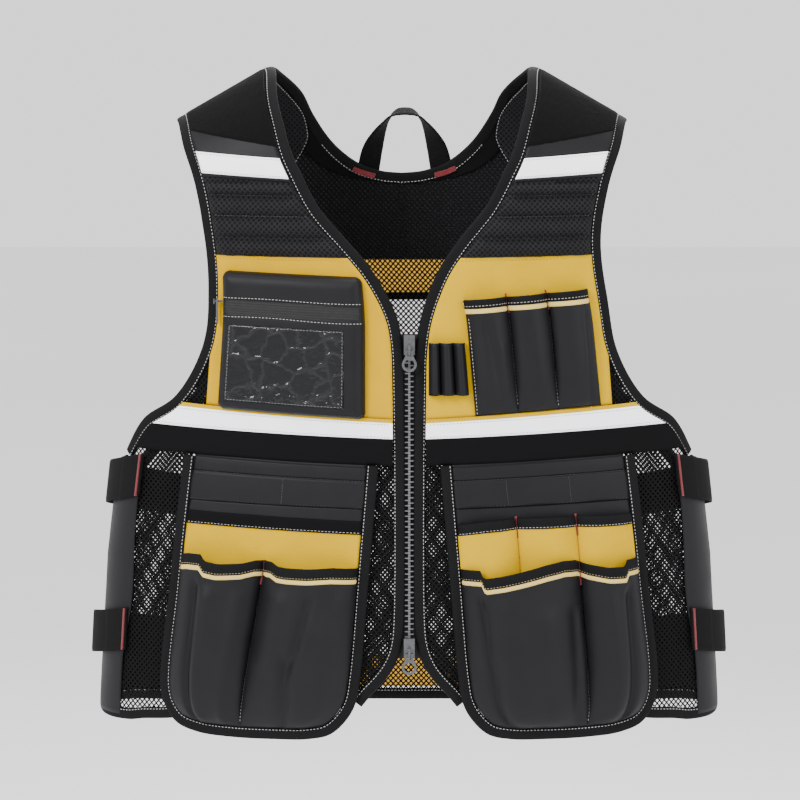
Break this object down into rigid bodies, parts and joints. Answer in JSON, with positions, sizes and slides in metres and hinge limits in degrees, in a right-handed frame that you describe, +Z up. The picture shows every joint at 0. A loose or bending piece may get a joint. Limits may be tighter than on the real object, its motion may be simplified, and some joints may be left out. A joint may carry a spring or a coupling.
{
  "type": "utility work vest",
  "caption": "Mesh utility work vest with padded shoulders, reflective strips, a clear badge window, zipped front, tool pockets, side straps and a grab loop.",
  "frame": {"origin": "on the vest's middle plane between the shoulders, about level with the shoulder ridges, where the wearer's shoulders carry it", "axes": "+Z up, front (zip side) towards -Y, +X to the wearer's left"},
  "size_m": [0.6298, 0.2586, 0.6533],
  "materials": {
    "mesh_net": "open warp-knit net, matt",
    "nylon": "smooth woven nylon, soft sheen",
    "band": "dense webbing, matt",
    "binding": "ribbed grosgrain, matt",
    "hook_loop": "fuzzy hook-and-loop, matt",
    "yellow_cloth": "plain woven, matt",
    "reflective": "silvery reflective tape, satin",
    "clear_film": "clear soft film, glossy",
    "metal": "dark zinc, satin",
    "zip_teeth": "moulded teeth, satin",
    "zip_cloth": "woven zip tape, matt"
  },
  "bodies": {
    "vest": {"front_panel_left": "mesh_net", "shoulder_pad_left": "mesh_net", "hook_patch_left": "hook_loop", "shoulder_reflector_left": "reflective", "yellow_panel_left": "yellow_cloth", "waist_band_left": "band", "waist_reflector_left": "reflective", "front_panel_right": "mesh_net", "shoulder_pad_right": "mesh_net", "hook_patch_right": "hook_loop", "shoulder_reflector_right": "reflective", "yellow_panel_right": "yellow_cloth", "waist_band_right": "band", "waist_reflector_right": "reflective", "back_panel": "mesh_net", "back_yellow_band": "yellow_cloth", "back_hem_band": "yellow_cloth", "front_edge_binding_left": "binding", "armhole_binding_left": "binding", "hem_binding_left": "binding", "tool_panel_binding_left": "binding", "front_edge_binding_right": "binding", "armhole_binding_right": "binding", "hem_binding_right": "binding", "tool_panel_binding_right": "binding", "neck_binding": "binding", "back_hem_binding": "binding", "side_strip_left": "band", "side_strip_right": "band", "tool_panel_left": "nylon", "tool_bands_left": "band", "lower_pocket_left": "nylon", "lower_pocket_binding_left": "binding", "tool_panel_right": "nylon", "tool_bands_right": "band", "lower_pocket_right": "nylon", "lower_pocket_binding_right": "binding", "yellow_facing_left": "yellow_cloth", "upper_pocket_right": "yellow_cloth", "upper_pocket_binding_right": "binding", "pen_pocket": "nylon", "pen_pocket_binding": "binding", "pen_loops": "nylon", "chest_pocket": "nylon", "chest_zip": "zip_teeth", "id_window": "clear_film", "zip_tape": "zip_cloth", "zip_chain": "zip_teeth", "top_slider": "metal", "bottom_slider": "metal", "chest_zip_slider": "metal", "upper_strap_left": "band", "lower_strap_left": "band", "upper_strap_right": "band", "lower_strap_right": "band", "grab_loop": "band"},
    "top_pull": {"top_pull": "metal"},
    "bottom_pull": {"bottom_pull": "metal"},
    "chest_zip_pull": {"chest_zip_pull": "metal"}
  },
  "joints": [
    {"name": "top_pull_hinge", "type": "hinge", "parent": "vest", "child": "top_pull", "pos_m": [0, -0.11673, -0.26671], "axis": [-1, 0, 0], "range_deg": [0, 125]},
    {"name": "bottom_pull_hinge", "type": "hinge", "parent": "vest", "child": "bottom_pull", "pos_m": [0, -0.12513, -0.55986], "axis": [-1, 0, 0], "range_deg": [0, 125]},
    {"name": "chest_zip_pull_hinge", "type": "hinge", "parent": "vest", "child": "chest_zip_pull", "pos_m": [-0.18475, -0.08536, -0.22183], "axis": [-1, 0, 0], "range_deg": [0, 90]}
  ]
}
